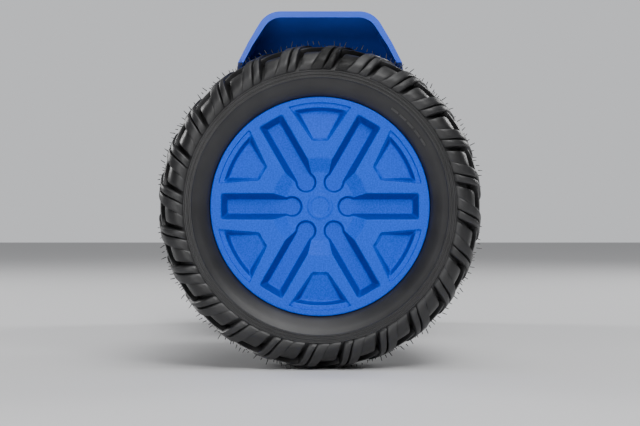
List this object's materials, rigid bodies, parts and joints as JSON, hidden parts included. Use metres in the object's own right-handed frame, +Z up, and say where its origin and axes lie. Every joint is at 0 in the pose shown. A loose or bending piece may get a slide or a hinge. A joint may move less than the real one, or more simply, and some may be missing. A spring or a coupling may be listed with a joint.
{
  "type": "self balancing hoverboard",
  "caption": "Two-wheeled self balancing board: halves hinged at the middle, hub motor wheels with block tread tyres, hooded fenders and sprung foot pads.",
  "frame": {"origin": "on the floor under the middle of the board, below the centre pivot", "axes": "+X along the axle to the right wheel, +Y to the front (lamps), +Z up"},
  "size_m": [0.674, 0.2, 0.2219],
  "materials": {
    "tyre": "matt moulded rubber",
    "cast_alloy": "as cast",
    "magnet": "nickel",
    "screw_steel": "zinc",
    "bearing_steel": "ground",
    "blue_cover": "fine satin grain",
    "axle_steel": "turned",
    "lamination": "stacked sheet",
    "winding": "enamelled copper",
    "frame_alloy": "die cast",
    "clamp_steel": "plated",
    "bush_plastic": "nylon",
    "black_shell": "fine grain",
    "blue_hood": "gloss",
    "pad_rubber": "ribbed",
    "circuit": "solder resist",
    "lamp_clear": "clear",
    "cable_jacket": "matt",
    "smoke_window": "smoked",
    "tube_steel": "drawn",
    "clip_steel": "spring steel",
    "battery_wrap": "shrink film",
    "speaker_black": "matt",
    "button_plastic": "satin",
    "port_plastic": "matt"
  },
  "bodies": {
    "left_half": {"axle_clamp_left": "clamp_steel", "axle_left": "axle_steel", "battery_bracket": "clamp_steel", "battery_pack": "battery_wrap", "bottom_shell_left": "black_shell", "chassis_left": "frame_alloy", "clamp_bolts_left": "screw_steel", "fender_left": "blue_hood", "lamp_board_left": "circuit", "lamp_lens_left": "lamp_clear", "pivot_bush_left": "bush_plastic", "pivot_clips": "clip_steel", "pivot_spacer": "bush_plastic", "pivot_tube": "tube_steel", "sensor_board_left": "circuit", "shell_screws_left": "screw_steel", "stator_carrier_left": "cast_alloy", "stator_coils_left": "winding", "stator_core_left": "lamination", "top_shell_left": "black_shell"},
    "right_half": {"axle_clamp_right": "clamp_steel", "axle_right": "axle_steel", "bottom_shell_right": "black_shell", "charge_port": "port_plastic", "chassis_right": "frame_alloy", "clamp_bolts_right": "screw_steel", "fender_right": "blue_hood", "heat_sink": "frame_alloy", "lamp_board_right": "circuit", "lamp_lens_right": "lamp_clear", "main_board": "circuit", "motor_cable_left": "cable_jacket", "motor_cable_right": "cable_jacket", "pivot_bush_right": "bush_plastic", "sensor_board_right": "circuit", "shell_screws_right": "screw_steel", "speaker": "speaker_black", "stator_carrier_right": "cast_alloy", "stator_coils_right": "winding", "stator_core_right": "lamination", "status_window": "smoke_window", "top_shell_right": "black_shell"},
    "wheel_left": {"bearings_left": "bearing_steel", "magnets_left": "magnet", "motor_cover_left": "cast_alloy", "motor_screws_left": "screw_steel", "rim_left": "cast_alloy", "tyre_left": "tyre", "wheel_cover_left": "blue_cover"},
    "wheel_right": {"bearings_right": "bearing_steel", "magnets_right": "magnet", "motor_cover_right": "cast_alloy", "motor_screws_right": "screw_steel", "rim_right": "cast_alloy", "tyre_right": "tyre", "wheel_cover_right": "blue_cover"},
    "foot_pad_left": {"foot_pad_left": "pad_rubber"},
    "foot_pad_right": {"foot_pad_right": "pad_rubber"},
    "power_button": {"power_button": "button_plastic"},
    "charge_port_cap": {"charge_port_cap": "pad_rubber"}
  },
  "joints": [
    {"name": "centre_pivot", "type": "hinge", "parent": "left_half", "child": "right_half", "pos_m": [0, 0, 0.1], "axis": [1, 0, 0], "range_deg": [-15, 15], "stiffness_Nm_per_rad": 6},
    {"name": "wheel_left_spin", "type": "hinge", "parent": "left_half", "child": "wheel_left", "pos_m": [-0.292, 0, 0.1], "axis": [1, 0, 0], "continuous": true},
    {"name": "wheel_right_spin", "type": "hinge", "parent": "right_half", "child": "wheel_right", "pos_m": [0.292, 0, 0.1], "axis": [1, 0, 0], "continuous": true},
    {"name": "foot_pad_left_press", "type": "slide", "parent": "left_half", "child": "foot_pad_left", "axis": [0, 0, -1], "range_m": [0, 0.0015], "stiffness_N_per_m": 20000, "springref_m": -0.0005},
    {"name": "foot_pad_right_press", "type": "slide", "parent": "right_half", "child": "foot_pad_right", "axis": [0, 0, -1], "range_m": [0, 0.0015], "stiffness_N_per_m": 20000, "springref_m": -0.0005},
    {"name": "power_button_press", "type": "slide", "parent": "right_half", "child": "power_button", "axis": [0, 1, 0], "range_m": [0, 0.0015], "stiffness_N_per_m": 800, "springref_m": -0.0005},
    {"name": "charge_cap_turn", "type": "hinge", "parent": "right_half", "child": "charge_port_cap", "pos_m": [0.156, -0.0904, 0.0985], "axis": [-1, 0, 0], "range_deg": [0, 100]}
  ]
}
